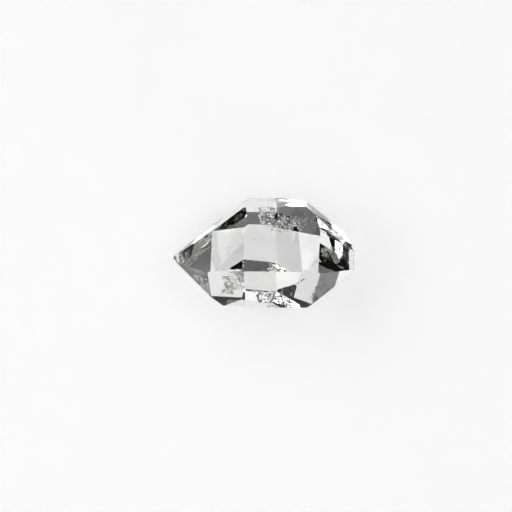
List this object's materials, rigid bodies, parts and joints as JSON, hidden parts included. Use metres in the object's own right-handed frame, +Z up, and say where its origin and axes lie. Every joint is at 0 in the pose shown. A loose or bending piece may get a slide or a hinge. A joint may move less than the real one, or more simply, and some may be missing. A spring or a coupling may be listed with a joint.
{
  "type": "herkimer diamond crystal",
  "caption": "Clear doubly ended quartz crystal lying on a narrow face, a faceted point at each end, for display or set dressing.",
  "frame": {"origin": "on the resting surface, under the middle of the crystal's outline", "axes": "+X along the long axis of the crystal, +Y away from the viewer, +Z up from the resting face"},
  "size_m": [0.018, 0.0114, 0.0086],
  "materials": {
    "quartz": "clear, glossy crystal faces"
  },
  "bodies": {
    "root": {"crystal": "quartz"}
  },
  "joints": []
}
